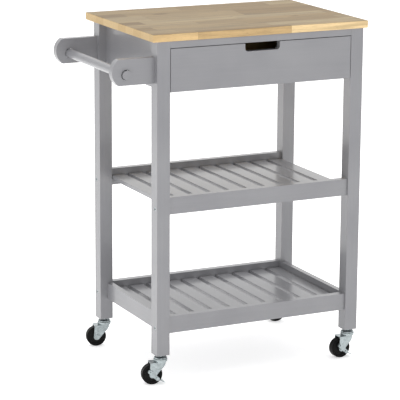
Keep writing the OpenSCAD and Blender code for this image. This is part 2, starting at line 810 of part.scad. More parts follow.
module caster_fork(i) {
    braked = i < 2;
    color(ZINC) at_caster(i) difference() {
        union() {
            intersection() {
                difference() {
                    linear_extrude(cup_z) fork_plan(fork_out);
                    translate([0, 0, -eps]) linear_extrude(crown_z + eps) fork_plan(fork_in);
                    translate([trail, -fork_in, -eps]) cube([fork_end_r + 2, 2 * fork_in, crown_z + eps]);
                }
                translate([0, fork_out, 0]) rotate([90, 0, 0]) linear_extrude(2 * fork_out) fork_side();
            }
            rod_z(0, 0, cup_z - 1, 3, 2 * cup_r - 4);
            rod_z(0, 0, cup_z + 2, cup_top - cup_z - 2, 2 * cup_r);
            if (braked) {
                rod_y(ear[0], fork_in, ear[1], fork_t, 2 * ear_r);
                rod_y(ear[0], fork_out - 1, ear[1], lever_y - fork_out + 0.9, stud_d + 4);
                rod_y(ear[0], fork_out - 1, ear[1], lever_y - fork_out + lever_t + 1.3, stud_d);
                rod_y(ear[0], lever_y + lever_t + 0.2, ear[1], 0.8, stud_d + 2.5);
            }
        }
        rod_z(0, 0, crown_z - 1, cup_top - crown_z + 2, pin_d + 2 * run_gap);
        rod_y(hub[0], -fork_out - 1, hub[1], 2 * fork_out + 2, axle_d + 0.1);
        if (braked) rod_y(ear[0], lever_y, ear[1], lever_t + 2, stud_d - 2);
    }
}

module caster_wheel(i) {
    half = wheel_w / 2;
    r = wheel_d / 2;
    boss = sleeve_d / 2 + 3;
    bore = sleeve_d / 2 + run_gap;
    color(BLACK) at_caster(i) translate([trail, 0, r]) rotate([90, 0, 0]) rotate_extrude($fn = 96) polygon([
        [bore, -half - 1], [boss, -half - 1], [boss, -half + 3], [r - 7, -half + 3], [r - 5, -half],
        [r - 3, -half], [r - 0.8, -half + 2], [r, -half + 5], [r, half - 5], [r - 0.8, half - 2],
        [r - 3, half],
        [r - 5, half], [r - 7, half - 3], [boss, half - 3], [boss, half + 1], [bore, half + 1]
    ]);
}

// Bolt, the sleeve between the fork's sides, and the nut
module caster_axle(i) {
    nut_t = 5;
    color(ZINC) at_caster(i) translate([hub[0], 0, hub[1]]) {
        difference() {
            rod_y(0, -fork_in, 0, 2 * fork_in, sleeve_d);
            rod_y(0, -fork_in - eps, 0, 2 * (fork_in + eps), axle_d + 0.1);
        }
        rod_y(0, -fork_out - nut_t - 2, 0, 2 * fork_out + nut_t + 2 + 0.5, axle_d);
        rod_y(0, fork_out, 0, head_t, 2 * axle_d);
        translate([0, -fork_out, 0]) rotate([90, 0, 0]) difference() {
            cylinder(h = nut_t, d = 11.5, $fn = 6);
            translate([0, 0, -eps]) cylinder(h = nut_t + 2 * eps, d = axle_d + 0.1);
        }
    }
}

// A flat bar in 2D from a to b, with its own half width at each end
module band(a, b, wa, wb) {
    side = [a[1] - b[1], b[0] - a[0]] / norm(b - a);
    polygon([a + side * wa, b + side * wb, b - side * wb, a - side * wa]);
}

// Brake lever: an arm from its stud across the axle, a rounded pad and a pedal across the tread
module brake_lever(i) {
    pad = hub + [-11.2, -9.5];
    pedal_a = hub + [-21.7, -15.4];
    pedal_b = hub + [-29.3, -19.7];
    pad_r = 4.5;
    color(ZINC) at_caster(i) difference() {
        union() {
            translate([0, lever_y + lever_t, 0]) rotate([90, 0, 0]) linear_extrude(lever_t) {
                translate(ear) circle(r = ear_r);
                translate(pad) circle(r = pad_r);
                band(ear, pad, ear_r, pad_r);
                band(pad, pedal_b, 1.3, lever_t / 2);
            }
            translate([0, lever_y + lever_t, 0]) rotate([90, 0, 0])
                linear_extrude(lever_y + lever_t + wheel_w / 2)
                    band(pedal_a, pedal_b, lever_t / 2, lever_t / 2);
            rod_y(pad[0], lever_y, pad[1], lever_t + 1.6, 2 * pad_r);
        }
        rod_y(ear[0], lever_y - 1, ear[1], lever_t + 2, stud_d + 2 * run_gap);
    }
}

// ---- nodes ----

worktop();
leg(-1, true);  // front_left_leg
leg(1, true);  // front_right_leg
leg(-1, false);  // back_left_leg
leg(1, false);  // back_right_leg
side_panel(-1);  // left_side_panel
side_panel(1);  // right_side_panel
back_panel();
front_top_rail();
lower_side_rail(-1);  // left_lower_rail
lower_side_rail(1);  // right_lower_rail
shelf_rail(true, mid_rail_z);  // middle_front_rail
shelf_rail(false, mid_rail_z);  // middle_back_rail
slats(mid_rail_z);  // middle_slats
shelf_rail(true, low_rail_z);  // lower_front_rail
shelf_rail(false, low_rail_z);  // lower_back_rail
slats(low_rail_z);  // lower_slats
bar_bracket(true);  // front_bar_bracket
bar_bracket(false);  // back_bar_bracket
towel_bar();
bar_screws();
rail_bolts();
barrel_nuts();
frame_dowels();
worktop_angles();
frame_screws();
caster_sockets();
drawer_front();
drawer_side(-1);  // drawer_left_side
drawer_side(1);  // drawer_right_side
drawer_back();
drawer_bottom();
drawer_dowels();
drawer_screws();
cabinet_runner(-1);  // left_cabinet_runner
cabinet_runner(1);  // right_cabinet_runner
drawer_runner(-1);  // left_drawer_runner
drawer_runner(1);  // right_drawer_runner
cabinet_rollers();
drawer_rollers();
caster_stem(0);  // front_left_stem
caster_stem(1);  // front_right_stem
caster_stem(2);  // back_left_stem
caster_stem(3);  // back_right_stem
caster_fork(0);  // front_left_fork
caster_fork(1);  // front_right_fork
caster_fork(2);  // back_left_fork
caster_fork(3);  // back_right_fork
caster_wheel(0);  // front_left_wheel
caster_wheel(1);  // front_right_wheel
caster_wheel(2);  // back_left_wheel
caster_wheel(3);  // back_right_wheel
caster_axle(0);  // front_left_axle
caster_axle(1);  // front_right_axle
caster_axle(2);  // back_left_axle
caster_axle(3);  // back_right_axle
brake_lever(0);  // front_left_brake
brake_lever(1);  // front_right_brake
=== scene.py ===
"""Finishes for the kitchen island cart: eased edges, casters, brake levers and node-based materials."""

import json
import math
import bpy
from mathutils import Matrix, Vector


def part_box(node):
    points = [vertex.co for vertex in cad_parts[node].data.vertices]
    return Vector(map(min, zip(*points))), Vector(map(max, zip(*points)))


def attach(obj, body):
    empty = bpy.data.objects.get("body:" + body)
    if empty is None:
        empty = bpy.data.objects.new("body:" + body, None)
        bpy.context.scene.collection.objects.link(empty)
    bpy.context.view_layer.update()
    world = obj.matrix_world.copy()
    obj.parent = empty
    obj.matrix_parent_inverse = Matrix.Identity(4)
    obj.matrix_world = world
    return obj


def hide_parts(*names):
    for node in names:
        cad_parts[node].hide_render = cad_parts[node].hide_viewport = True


bl_info = {
    "name": "Kitchen Cart Finish",
    "version": (1, 0, 0),
    "blender": (4, 5, 0),
    "location": "View3D > Sidebar > Kitchen Cart",
    "description": "Builds the finished looks of a kitchen island cart on its CAD frame",
    "category": "Object",
}

import bmesh
import bpy
from mathutils import Matrix, Vector

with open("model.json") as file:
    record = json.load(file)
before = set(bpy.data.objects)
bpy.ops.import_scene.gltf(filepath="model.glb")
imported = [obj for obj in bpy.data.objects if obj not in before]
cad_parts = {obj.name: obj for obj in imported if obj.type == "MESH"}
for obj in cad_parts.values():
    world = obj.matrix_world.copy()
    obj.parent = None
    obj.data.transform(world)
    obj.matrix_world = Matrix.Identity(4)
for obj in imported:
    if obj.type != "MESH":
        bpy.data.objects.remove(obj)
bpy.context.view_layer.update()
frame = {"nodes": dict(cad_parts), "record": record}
MM = 0.001
BODY_OF = {n: b for b, nodes in frame["record"]["behaviour"]["bodies"].items() for n in nodes}
CASTERS = ("front_left", "front_right", "back_left", "back_right")
BRAKED = CASTERS[:2]

SHARP_ANGLE = math.radians(40)     # edges flatter than this stay as they are
SHORT_EDGE = 12 * MM               # shorter edges belong to screw holes and are left sharp
OUTLINE = 4 * MM                   # unless they lie this near to the piece's outline
WHEEL_HALF = 9 * MM                # half a wheel's width
WHEEL_BORE = 4.58                  # radius of a wheel's bore, mm
TREAD_ROUNDING = 2.2 * MM
# each ring on a wheel's side, from the tread's edge to the bore, in mm: (inset towards the hub, step outwards)
WHEEL_RINGS = (
    (0.5, 0.0), (2.6, 0.0), (0.6, -0.9), (1.6, 0.0), (0.5, 0.6), (1.1, 0.0), (0.9, -2.3),
    (7.4, 0.0), (0.9, 2.6), (1.2, 0.0), (0.5, 0.6), (2.0, 0.0),
)
KNOTS = (((-0.083, 0.096), 9 * MM), ((0.205, -0.062), 5 * MM))      # place on the worktop, radius

# area lights: name, place in m, size in m, power in W; all look at AIM
LIGHTS = (
    ("left_softbox", (-3.5, -0.5, 0.8), 2.2, 21),
    ("top_softbox", (0.2, 1.0, 3.4), 2.4, 40),
    ("front_softbox", (-1.8, -7.0, 1.4), 3.0, 118),
)
AIM = (0, 0, 0.45)
SKY_TOWARDS = (0.42, 0.60, 0.56)   # where the world is brightest
SKY_STRENGTH = (0.30, 1.22)        # away from there, and towards it
CAMERA_PLACE = (-2.1954, -4.4729, 1.5795)
CAMERA_ANGLES = (-25.953, 13.425, 0.332)      # azimuth, downward tilt and roll in degrees
CAMERA_LENS, CAMERA_SENSOR = 186.49, 36       # mm


# ---- settings ----

class CartSizes(bpy.types.PropertyGroup):
    """Sizes of the finished edges and of the details that the frame leaves plain."""
    top_edge: bpy.props.FloatProperty(
        name="Worktop edge", description="Rounding of the worktop's edges", default=2 * MM, unit="LENGTH")
    board_edge: bpy.props.FloatProperty(
        name="Board edge", description="Rounding of the legs', rails' and panels' edges",
        default=1.1 * MM, unit="LENGTH")
    slat_edge: bpy.props.FloatProperty(
        name="Slat edge", description="Rounding of the slats' edges", default=0.5 * MM, unit="LENGTH")
    bracket_edge: bpy.props.FloatProperty(
        name="Bracket edge", description="Rounding of the towel bar brackets' edges",
        default=1.6 * MM, unit="LENGTH")
    plate_edge: bpy.props.FloatProperty(
        name="Plate edge", description="Rounding of stamped steel edges", default=0.35 * MM, unit="LENGTH")
    stave_width: bpy.props.FloatProperty(
        name="Stave width", description="Width of the worktop's glued staves", default=44.5 * MM, unit="LENGTH")
    stave_length: bpy.props.FloatProperty(
        name="Stave length", description="Length of the worktop's glued staves", default=245 * MM, unit="LENGTH")


class CartColours(bpy.types.PropertyGroup):
    """Colours of the cart's finishes, as sRGB hex values."""
    paint: bpy.props.StringProperty(name="Paint", description="Satin paint on the frame", default="838386")
    paint_deep: bpy.props.StringProperty(
        name="Paint, deep", description="Paint where it lies thicker", default="79797D")
    wood_pale: bpy.props.StringProperty(name="Wood, pale", description="Palest staves", default="ECD2A3")
    wood_mid: bpy.props.StringProperty(name="Wood, middle", description="Common staves", default="DBBD8C")
    wood_dark: bpy.props.StringProperty(name="Wood, dark", description="Darkest staves", default="C3A373")
    knot: bpy.props.StringProperty(name="Knot", description="Knots in the worktop", default="8A6B43")
    zinc: bpy.props.StringProperty(name="Zinc", description="Bright zinc plating", default="AEB7B9")
    tyre: bpy.props.StringProperty(name="Wheel", description="Black moulded wheels", default="060606")
    runner: bpy.props.StringProperty(
        name="Runner", description="Powder coat of the drawer runners", default="E4E4E0")
    ply: bpy.props.StringProperty(name="Plywood", description="Drawer sides and bottom", default="CDB585")


class CartSettings(bpy.types.PropertyGroup):
    """All settings of the cart."""
    sizes: bpy.props.PointerProperty(type=CartSizes, name="Sizes", description="Edge and detail sizes")
    colours: bpy.props.PointerProperty(type=CartColours, name="Colours", description="Finish colours")


def sizes():
    return bpy.context.scene.cart.sizes


def colours():
    return bpy.context.scene.cart.colours


# ---- mesh helpers ----

def select_only(*objs):
    bpy.ops.object.select_all(action="DESELECT")
    for o in objs:
        o.select_set(True)
    bpy.context.view_layer.objects.active = objs[0]


def in_edit(obj, work):
    """Runs work(bm) with obj in edit mode and nothing selected."""
    select_only(obj)
    bpy.ops.object.mode_set(mode="EDIT")
    bpy.ops.mesh.select_mode(type="FACE")
    bpy.ops.mesh.select_all(action="DESELECT")
    work(bmesh.from_edit_mesh(obj.data))
    bpy.ops.object.mode_set(mode="OBJECT")


def pick(bm, kind, test):
    """Selects the faces or edges that pass test; returns how many."""
    found = 0
    bpy.ops.mesh.select_mode(type="FACE" if kind == "faces" else "EDGE")
    bpy.ops.mesh.select_all(action="DESELECT")
    for e in getattr(bm, kind):
        if test(e):
            e.select_set(True)
            found += 1
    bm.select_flush_mode()
    return found


def smooth(obj, degrees=32):
    """Smooth shading up to an angle, weighted so that the large faces stay flat beside their rounded edges."""
    select_only(obj)
    bpy.ops.object.shade_smooth_by_angle(angle=math.radians(degrees))
    weigh = obj.modifiers.new("flat faces", "WEIGHTED_NORMAL")
    weigh.weight, weigh.keep_sharp = 100, True
    bpy.ops.object.modifier_apply(modifier=weigh.name)


def stand_for(piece, material, *nodes):
    """The piece rides with its node's body, replaces the nodes and takes the material."""
    piece.data.materials.clear()
    piece.data.materials.append(material)
    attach(piece, BODY_OF[nodes[0]])
    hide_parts(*nodes)


def eased(node, width, material, steps=3, short_edges=False):
    """A merged copy of a CAD node whose sharp edges are rounded, standing for that node."""
    piece = bpy.data.objects.new(node + "_eased", frame["nodes"][node].data.copy())
    bpy.context.scene.collection.objects.link(piece)
    lo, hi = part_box(node)

    def sharp(e):
        if len(e.link_faces) != 2 or e.calc_face_angle(0) < SHARP_ANGLE:
            return False
        mid = (e.verts[0].co + e.verts[1].co) / 2
        sides = sum(1 for i in range(3) if min(abs(mid[i] - lo[i]), abs(mid[i] - hi[i])) < OUTLINE)
        return short_edges or e.calc_length() > SHORT_EDGE or sides >= 2

    def work(bm):
        bpy.ops.mesh.select_all(action="SELECT")
        bpy.ops.mesh.remove_doubles(threshold=2e-6)
        bpy.ops.mesh.dissolve_limited(angle_limit=math.radians(0.5))
        bm = bmesh.from_edit_mesh(piece.data)
        bm.normal_update()
        if pick(bm, "edges", sharp):
            bpy.ops.mesh.bevel(
                offset=width, segments=steps, affect="EDGES", clamp_overlap=True, loop_slide=False)

    in_edit(piece, work)
    smooth(piece)
    stand_for(piece, material, node)


# ---- materials ----

def linear(hex_colour):
    """sRGB hex to linear RGBA."""
    values = [int(hex_colour[i:i + 2], 16) / 255 for i in (0, 2, 4)]
    return [v / 12.92 if v <= 0.04045 else ((v + 0.055) / 1.055) ** 2.4 for v in values] + [1.0]


def add(tree, kind, inputs=None, **settings):
    """Adds a shader node with its settings, and sets or links its inputs."""
    n = tree.nodes.new("ShaderNode" + kind)
    for key, value in settings.items():
        setattr(n, key, value)
    for key, value in (inputs or {}).items():
        if isinstance(value, bpy.types.NodeSocket):
            tree.links.new(value, n.inputs[key])
        else:
            n.inputs[key].default_value = value
    return n


def start_material(name, **constants):
    """A material with an empty Principled shader; constants go straight onto the shader's sockets."""
    mat = bpy.data.materials.new(name)
    mat.use_nodes = True
    tree = mat.node_tree
    tree.nodes.clear()
    shader = add(tree, "BsdfPrincipled")
    for key, value in constants.items():
        shader.inputs[key.replace("_", " ")].default_value = value
    add(tree, "OutputMaterial", {"Surface": shader.outputs["BSDF"]})
    place = add(tree, "TexCoord").outputs["Object"]
    return mat, tree, shader, place


def satin_paint_on_pine(name, along):
    """Sprayed satin alkyd paint on sanded pine: an even grey with a soft sheen; the grain below it just
    shows as fine ridges along the board, and the spray leaves a stipple of about a millimetre."""
    c = colours()
    mat, tree, shader, place = start_material(name, IOR=1.5, Coat_Weight=0.7, Coat_Roughness=0.17)
    stretch = [170.0, 170.0, 170.0]
    stretch[along] = 7.0                           # grain ridges 6 mm apart, drawn out along the board
    grain_at = add(tree, "Mapping", {"Vector": place, "Scale": stretch})
    grain = add(tree, "TexNoise", {"Vector": grain_at.outputs[0], "Scale": 1.0, "Detail": 4.0,
            "Roughness": 0.6})
    stipple = add(tree, "TexNoise", {"Vector": place, "Scale": 800.0, "Detail": 2.0})       # 1.2 mm
    cloud = add(tree, "TexNoise", {"Vector": place, "Scale": 7.0, "Detail": 2.0})           # 140 mm
    tone = add(tree, "Math", {0: grain.outputs["Fac"], 1: 0.35, 2: cloud.outputs["Fac"]},
            operation="MULTIPLY_ADD")
    spread = add(tree, "MapRange", {"Value": tone.outputs[0], "From Min": 0.45, "From Max": 0.95})
    base = add(tree, "MixRGB", {"Fac": spread.outputs[0], "Color1": linear(c.paint_deep),
            "Color2": linear(c.paint)})
    sheen = add(tree, "MapRange", {"Value": stipple.outputs["Fac"], "To Min": 0.36, "To Max": 0.50})
    relief = add(tree, "Math", {0: grain.outputs["Fac"], 1: 0.8, 2: stipple.outputs["Fac"]},
            operation="MULTIPLY_ADD")
    bump = add(tree, "Bump", {"Height": relief.outputs[0], "Strength": 0.16, "Distance": 0.25 * MM})
    tree.links.new(base.outputs[0], shader.inputs["Base Color"])
    tree.links.new(sheen.outputs[0], shader.inputs["Roughness"])
    tree.links.new(bump.outputs[0], shader.inputs["Normal"])
    return mat


def oiled_rubberwood_staves():
    """Rubberwood staves finger-jointed end to end, glued into a slab, sanded and oiled: honey-coloured
    boards of differing tone, short dark pores along the grain, a few small knots and end grain at the ends."""
    c, s = colours(), sizes()
    mat, tree, shader, place = start_material("oiled_rubberwood_staves", IOR=1.47, Specular_IOR_Level=0.3)
    axes = add(tree, "SeparateXYZ", {"Vector": place})
    x, y = axes.outputs[:2]
    across = add(tree, "Math", {0: y, 1: 1 / s.stave_width}, operation="MULTIPLY")
    row = add(tree, "Math", {0: across.outputs[0]}, operation="FLOOR")
    row_chance = add(tree, "TexWhiteNoise", {"W": row.outputs[0]}, noise_dimensions="1D")
    along = add(tree, "Math", {0: x, 1: 1 / s.stave_length, 2: row_chance.outputs["Value"]},
            operation="MULTIPLY_ADD")
    along2 = add(tree, "Math", {0: row.outputs[0], 1: 0.41, 2: along.outputs[0]}, operation="MULTIPLY_ADD")
    stave = add(tree, "Math", {0: along2.outputs[0]}, operation="FLOOR")
    pair = add(tree, "CombineXYZ", {"X": stave.outputs[0], "Y": row.outputs[0], "Z": 3.0})
    chance = add(tree, "TexWhiteNoise", {"Vector": pair.outputs[0]}, noise_dimensions="3D")
    tone = add(tree, "ValToRGB", {"Fac": chance.outputs["Value"]})
    ramp = tone.color_ramp
    ramp.elements[0].color, ramp.elements[1].color = linear(c.wood_dark), linear(c.wood_pale)
    middle = ramp.elements.new(0.38)
    middle.color = linear(c.wood_mid)
    # each stave's grain starts somewhere else
    shift = add(tree, "VectorMath", {0: chance.outputs["Color"], "Scale": 9.0}, operation="SCALE")
    moved = add(tree, "VectorMath", {0: place, 1: shift.outputs[0]}, operation="ADD")
    # 13 mm bands
    figure_at = add(tree, "Mapping", {"Vector": moved.outputs[0], "Scale": (5.0, 75.0, 75.0)})
    figure = add(tree, "TexNoise", {"Vector": figure_at.outputs[0], "Scale": 1.0, "Detail": 5.0,
            "Roughness": 0.6, "Distortion": 0.6})
    # 14 by 1.1 mm
    pores_at = add(tree, "Mapping", {"Vector": moved.outputs[0], "Scale": (70.0, 900.0, 900.0)})
    pores = add(tree, "TexNoise", {"Vector": pores_at.outputs[0], "Scale": 1.0, "Detail": 2.0})
    bands = add(tree, "MapRange", {"Value": figure.outputs["Fac"], "From Min": 0.36, "From Max": 0.66,
            "To Min": 0.72, "To Max": 1.12})
    specks = add(tree, "MapRange", {"Value": pores.outputs["Fac"], "From Min": 0.56, "From Max": 0.70,
            "To Min": 1.0, "To Max": 0.80})
    shade = add(tree, "Math", {0: bands.outputs[0], 1: specks.outputs[0]}, operation="MULTIPLY")
    # dark glue lines between staves
    edge = add(tree, "Math", {0: across.outputs[0], 1: 0.5}, operation="PINGPONG")
    edge_line = add(tree, "MapRange", {"Value": edge.outputs[0], "From Min": 0.004, "From Max": 0.016,
            "To Min": 0.80, "To Max": 1.0})
    butt = add(tree, "Math", {0: along2.outputs[0], 1: 0.5}, operation="PINGPONG")
    butt_line = add(tree, "MapRange", {"Value": butt.outputs[0], "From Min": 0.0008, "From Max": 0.004,
            "To Min": 0.80, "To Max": 1.0})
    lines = add(tree, "Math", {0: edge_line.outputs[0], 1: butt_line.outputs[0]}, operation="MULTIPLY")
    dark = add(tree, "Math", {0: shade.outputs[0], 1: lines.outputs[0]}, operation="MULTIPLY")
    tinted = add(tree, "VectorMath", {0: tone.outputs[0], "Scale": dark.outputs[0]}, operation="SCALE")
    # knots: two ovals in the slab, ringed by bent grain
    knot_fac = None
    for spot, radius in KNOTS:
        near = add(tree, "CombineXYZ", {"X": x, "Y": y})
        off = add(tree, "VectorMath", {0: near.outputs[0], 1: (spot[0], spot[1], 0.0)}, operation="SUBTRACT")
        flat = add(tree, "VectorMath", {0: off.outputs[0], 1: (0.42, 1.0, 0.0)}, operation="MULTIPLY")
        length = add(tree, "VectorMath", {0: flat.outputs[0]}, operation="LENGTH")
        part = add(tree, "MapRange", {"Value": length.outputs["Value"], "From Min": radius * 0.35,
                "From Max": radius * 1.5,
                                      "To Min": 0.62, "To Max": 0.0}, interpolation_type="SMOOTHERSTEP")
        knot_fac = part.outputs[0] if knot_fac is None else add(
            tree, "Math", {0: knot_fac, 1: part.outputs[0]}, operation="MAXIMUM").outputs[0]
    knotted = add(tree, "MixRGB", {"Fac": knot_fac, "Color1": tinted.outputs[0], "Color2": linear(c.knot)})
    # end grain on the two ends: fine dots instead of streaks
    facing = add(tree, "NewGeometry")
    turned = add(tree, "VectorTransform", {"Vector": facing.outputs["True Normal"]}, vector_type="NORMAL",
            convert_from="WORLD", convert_to="OBJECT")
    parts = add(tree, "SeparateXYZ", {"Vector": turned.outputs[0]})
    side = add(tree, "Math", {0: parts.outputs[0]}, operation="ABSOLUTE")
    is_end = add(tree, "Math", {0: side.outputs[0], 1: 0.7}, operation="GREATER_THAN")
    dots = add(tree, "TexNoise", {"Vector": place, "Scale": 620.0, "Detail": 2.0})                # 1.6 mm
    end_shade = add(tree, "MapRange", {"Value": dots.outputs["Fac"], "From Min": 0.35, "From Max": 0.65,
            "To Min": 0.86, "To Max": 1.04})
    end_tone = add(tree, "MixRGB", {"Fac": 0.72, "Color1": tone.outputs[0], "Color2": linear(c.wood_mid)})
    end_colour = add(tree, "VectorMath", {0: end_tone.outputs[0], "Scale": end_shade.outputs[0]},
            operation="SCALE")
    final = add(tree, "MixRGB", {"Fac": is_end.outputs[0], "Color1": knotted.outputs[0],
            "Color2": end_colour.outputs[0]})
    # painted shade: the upper face is darkened to 0.40 of the long edges' colour, standing in for how the light falls
    # on it; the end faces are darkened to 0.80
    top_painted_shade = add(tree, "MapRange", {"Value": parts.outputs[2], "From Min": 0.5, "From Max": 0.95,
            "To Min": 1.0, "To Max": 0.40})
    end_darkening = add(tree, "MapRange", {"Value": is_end.outputs[0], "To Min": 1.0, "To Max": 0.80})
    top_shade_and_end_darkening = add(tree, "Math", {0: top_painted_shade.outputs[0], 1: end_darkening.outputs[0]}, operation="MULTIPLY")
    final = add(tree, "VectorMath", {0: final.outputs[0], "Scale": top_shade_and_end_darkening.outputs[0]}, operation="SCALE")
    rough = add(tree, "MapRange", {"Value": figure.outputs["Fac"], "To Min": 0.48, "To Max": 0.64})
    bump = add(tree, "Bump", {"Height": dark.outputs[0], "Strength": 0.18, "Distance": 0.2 * MM})
    tree.links.new(final.outputs[0], shader.inputs["Base Color"])
    tree.links.new(rough.outputs[0], shader.inputs["Roughness"])
    tree.links.new(bump.outputs[0], shader.inputs["Normal"])
    return mat


def clear_wood(name, base_hex, dark_hex, along, band_mm):
    """Plain sliced or turned wood under thin clear lacquer: straight fine figure along one axis."""
    mat, tree, shader, place = start_material(name, IOR=1.5)
    stretch = [1000.0 / band_mm] * 3
    stretch[along] = 9.0
    at = add(tree, "Mapping", {"Vector": place, "Scale": stretch})
    figure = add(tree, "TexNoise", {"Vector": at.outputs[0], "Scale": 1.0, "Detail": 4.0, "Distortion": 0.4})
    fine = add(tree, "TexNoise", {"Vector": at.outputs[0], "Scale": 7.0, "Detail": 2.0})
    both = add(tree, "Math", {0: fine.outputs["Fac"], 1: 0.4, 2: figure.outputs["Fac"]},
            operation="MULTIPLY_ADD")
    spread = add(tree, "MapRange", {"Value": both.outputs[0], "From Min": 0.5, "From Max": 0.95})
    base = add(tree, "MixRGB", {"Fac": spread.outputs[0], "Color1": linear(dark_hex),
            "Color2": linear(base_hex)})
    rough = add(tree, "MapRange", {"Value": fine.outputs["Fac"], "To Min": 0.42, "To Max": 0.6})
    bump = add(tree, "Bump", {"Height": both.outputs[0], "Strength": 0.15, "Distance": 0.2 * MM})
    tree.links.new(base.outputs[0], shader.inputs["Base Color"])
    tree.links.new(rough.outputs[0], shader.inputs["Roughness"])
    tree.links.new(bump.outputs[0], shader.inputs["Normal"])
    return mat


def bright_zinc_plate():
    """Pressed and turned steel with bright zinc plating: cool pale metal, cloudy, with fine drawing lines,
    shallow waves from the press and slightly uneven gloss; the clouds darken the colour to 0.62 of the zinc,
    partly the plating's own cloudiness and partly painted dark reflections."""
    c = colours()
    mat, tree, shader, place = start_material("bright_zinc_plated_steel", Metallic=1.0)
    cloud = add(tree, "TexNoise", {"Vector": place, "Scale": 160.0, "Detail": 4.0})             # 6 mm clouds
    lines_at = add(tree, "Mapping", {"Vector": place, "Scale": (300.0, 300.0, 2500.0)})
    lines = add(tree, "TexNoise", {"Vector": lines_at.outputs[0], "Scale": 1.0, "Detail": 2.0})
    # partly painted reflection: the zinc is darkened to 0.62 in 6 mm clouds, for the plating's cloudiness and for dark
    # reflections
    dark = [v * 0.62 for v in linear(c.zinc)[:3]] + [1.0]
    plate_clouds_and_painted_reflection = add(tree, "MapRange", {"Value": cloud.outputs["Fac"], "From Min": 0.3, "From Max": 0.7})
    base = add(tree, "MixRGB", {"Fac": plate_clouds_and_painted_reflection.outputs[0], "Color1": dark, "Color2": linear(c.zinc)})
    rough = add(tree, "MapRange", {"Value": cloud.outputs["Fac"], "From Min": 0.3, "From Max": 0.7,
            "To Min": 0.16, "To Max": 0.30})
    pressed = add(tree, "TexNoise", {"Vector": place, "Scale": 240.0, "Detail": 1.0})           # 4 mm waves
    relief = add(tree, "Math", {0: lines.outputs["Fac"], 1: 0.06, 2: pressed.outputs["Fac"]},
            operation="MULTIPLY_ADD")
    bump = add(tree, "Bump", {"Height": relief.outputs[0], "Strength": 0.45, "Distance": 1.2 * MM})
    tree.links.new(base.outputs[0], shader.inputs["Base Color"])
    tree.links.new(rough.outputs[0], shader.inputs["Roughness"])
    tree.links.new(bump.outputs[0], shader.inputs["Normal"])
    return mat


def moulded_black_polypropylene():
    """Injection-moulded black polypropylene: deep black with a fine spark-eroded texture and
    slightly greyer patches."""
    c = colours()
    mat, tree, shader, place = start_material("moulded_black_polypropylene", IOR=1.49, Specular_IOR_Level=0.18)
    grit = add(tree, "TexNoise", {"Vector": place, "Scale": 1400.0, "Detail": 3.0})              # 0.7 mm
    patch = add(tree, "TexNoise", {"Vector": place, "Scale": 55.0, "Detail": 3.0})
    spread = add(tree, "MapRange", {"Value": patch.outputs["Fac"], "From Min": 0.5, "From Max": 0.75})
    base = add(tree, "MixRGB", {"Fac": spread.outputs[0], "Color1": linear(c.tyre), "Color2": linear("0E0E0F")})
    rough = add(tree, "MapRange", {"Value": grit.outputs["Fac"], "To Min": 0.46, "To Max": 0.62})
    bump = add(tree, "Bump", {"Height": grit.outputs["Fac"], "Strength": 0.2, "Distance": 0.08 * MM})
    tree.links.new(base.outputs[0], shader.inputs["Base Color"])
    tree.links.new(rough.outputs[0], shader.inputs["Roughness"])
    tree.links.new(bump.outputs[0], shader.inputs["Normal"])
    return mat


def speckled(name, hex_colour, grain_mm, rough_low, rough_high, ior):
    """An even coating or moulding whose fine skin is grain_mm coarse: powder coat or nylon."""
    mat, tree, shader, place = start_material(name, IOR=ior)
    skin = add(tree, "TexNoise", {"Vector": place, "Scale": 1000.0 / grain_mm, "Detail": 3.0})
    patch = add(tree, "TexNoise", {"Vector": place, "Scale": 30.0, "Detail": 2.0})
    dark = [v * 0.93 for v in linear(hex_colour)[:3]] + [1.0]
    base = add(tree, "MixRGB", {"Fac": patch.outputs["Fac"], "Color1": dark, "Color2": linear(hex_colour)})
    rough = add(tree, "MapRange", {"Value": skin.outputs["Fac"], "To Min": rough_low, "To Max": rough_high})
    bump = add(tree, "Bump", {"Height": skin.outputs["Fac"], "Strength": 0.2, "Distance": 0.1 * MM})
    tree.links.new(base.outputs[0], shader.inputs["Base Color"])
    tree.links.new(rough.outputs[0], shader.inputs["Roughness"])
    tree.links.new(bump.outputs[0], shader.inputs["Normal"])
    return mat


def white_vinyl_floor():
    """Matt white studio vinyl, lit until it is white; faint unevenness in its gloss."""
    mat, tree, shader, place = start_material("white_studio_vinyl", Emission_Strength=0.45, Emission_Color=(1, 1, 1, 1))
    patch = add(tree, "TexNoise", {"Vector": place, "Scale": 3.0, "Detail": 2.0})
    base = add(tree, "MixRGB", {"Fac": patch.outputs["Fac"], "Color1": linear("F6F6F6"),
            "Color2": linear("FDFDFD")})
    tree.links.new(base.outputs[0], shader.inputs["Base Color"])
    shader.inputs["Roughness"].default_value = 0.85
    return mat


def finish(name):
    """The material of that name, made the first time it is asked for."""
    made = bpy.data.materials.get(name)
    if made:
        return made
    c = colours()
    makers = {
        "satin_paint_along_x": lambda: satin_paint_on_pine(name, 0),
        "satin_paint_along_y": lambda: satin_paint_on_pine(name, 1),
        "satin_paint_along_z": lambda: satin_paint_on_pine(name, 2),
        "oiled_rubberwood_staves": oiled_rubberwood_staves,
        "lacquered_plywood_along_x": lambda: clear_wood(name, c.ply, "B79C6C", 0, 9.0),
        "lacquered_plywood_along_y": lambda: clear_wood(name, c.ply, "B79C6C", 1, 9.0),
        "turned_beech": lambda: clear_wood(name, "C9A577", "AE8A5E", 1, 4.0),
        "bright_zinc_plated_steel": bright_zinc_plate,
        "moulded_black_polypropylene": moulded_black_polypropylene,
        "powder_coated_steel": lambda: speckled(name, c.runner, 0.9, 0.38, 0.52, 1.5),
        "moulded_white_nylon": lambda: speckled(name, "E2E0D6", 0.6, 0.30, 0.42, 1.53),
        "white_studio_vinyl": white_vinyl_floor,
    }
    return makers[name]()


# ---- pieces ----

class CART_OT_worktop(bpy.types.Operator):
    """Worktop of glued rubberwood staves with eased edges"""
    bl_idname = "cart.worktop"
    bl_label = "Worktop"

    def execute(self, context):
        eased("worktop", sizes().top_edge, finish("oiled_rubberwood_staves"), steps=4)
        return {"FINISHED"}


